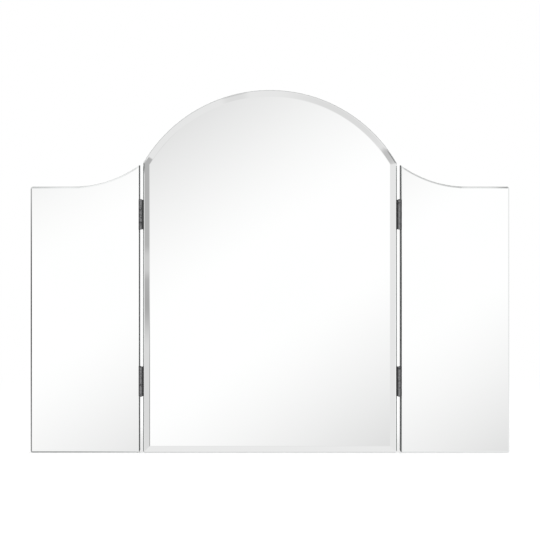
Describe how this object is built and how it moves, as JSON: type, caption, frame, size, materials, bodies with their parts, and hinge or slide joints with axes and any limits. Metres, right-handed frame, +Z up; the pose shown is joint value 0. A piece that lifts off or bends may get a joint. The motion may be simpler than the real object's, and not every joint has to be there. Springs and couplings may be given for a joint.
{
  "type": "folding three-panel mirror",
  "caption": "Frameless folding mirror: an arched bevelled centre panel with lower wings that swing forwards on butt hinges, hung on a wall by keyhole plates let into its back.",
  "frame": {"origin": "on the back face of the centre backing board, midway between the entry holes of the two keyhole hangers", "axes": "+X to the viewer's right, +Y towards the wall, +Z up"},
  "size_m": [0.73, 0.0208, 0.5529],
  "materials": {
    "silvered_glass": "polished",
    "black_board": "matte",
    "foam_tape": "matte",
    "dark_steel": "satin",
    "zinc_steel": "satin",
    "bumper_rubber": "matte"
  },
  "bodies": {
    "centre": {"centre_mirror_glass": "silvered_glass", "centre_mirror_tape": "foam_tape", "centre_backing_board": "black_board", "centre_wall_bumpers": "bumper_rubber", "left_wall_hanger": "zinc_steel", "right_wall_hanger": "zinc_steel", "wall_hanger_screws": "zinc_steel", "left_hinge_centre_screws": "dark_steel", "left_upper_hinge_centre_leaf": "dark_steel", "left_upper_hinge_pin": "dark_steel", "left_lower_hinge_centre_leaf": "dark_steel", "left_lower_hinge_pin": "dark_steel", "right_hinge_centre_screws": "dark_steel", "right_upper_hinge_centre_leaf": "dark_steel", "right_upper_hinge_pin": "dark_steel", "right_lower_hinge_centre_leaf": "dark_steel", "right_lower_hinge_pin": "dark_steel"},
    "left_wing": {"left_wing_mirror_glass": "silvered_glass", "left_wing_mirror_tape": "foam_tape", "left_wing_backing_board": "black_board", "left_wing_wall_bumpers": "bumper_rubber", "left_hinge_wing_screws": "dark_steel", "left_upper_hinge_wing_leaf": "dark_steel", "left_lower_hinge_wing_leaf": "dark_steel"},
    "right_wing": {"right_wing_mirror_glass": "silvered_glass", "right_wing_mirror_tape": "foam_tape", "right_wing_backing_board": "black_board", "right_wing_wall_bumpers": "bumper_rubber", "right_hinge_wing_screws": "dark_steel", "right_upper_hinge_wing_leaf": "dark_steel", "right_lower_hinge_wing_leaf": "dark_steel"}
  },
  "joints": [
    {"name": "left_wing_fold", "type": "hinge", "parent": "centre", "child": "left_wing", "pos_m": [-0.19625, -0.015, 0], "axis": [0, 0, 1], "range_deg": [-12, 180]},
    {"name": "right_wing_fold", "type": "hinge", "parent": "centre", "child": "right_wing", "pos_m": [0.19625, -0.015, 0], "axis": [0, 0, -1], "range_deg": [-12, 180]}
  ]
}
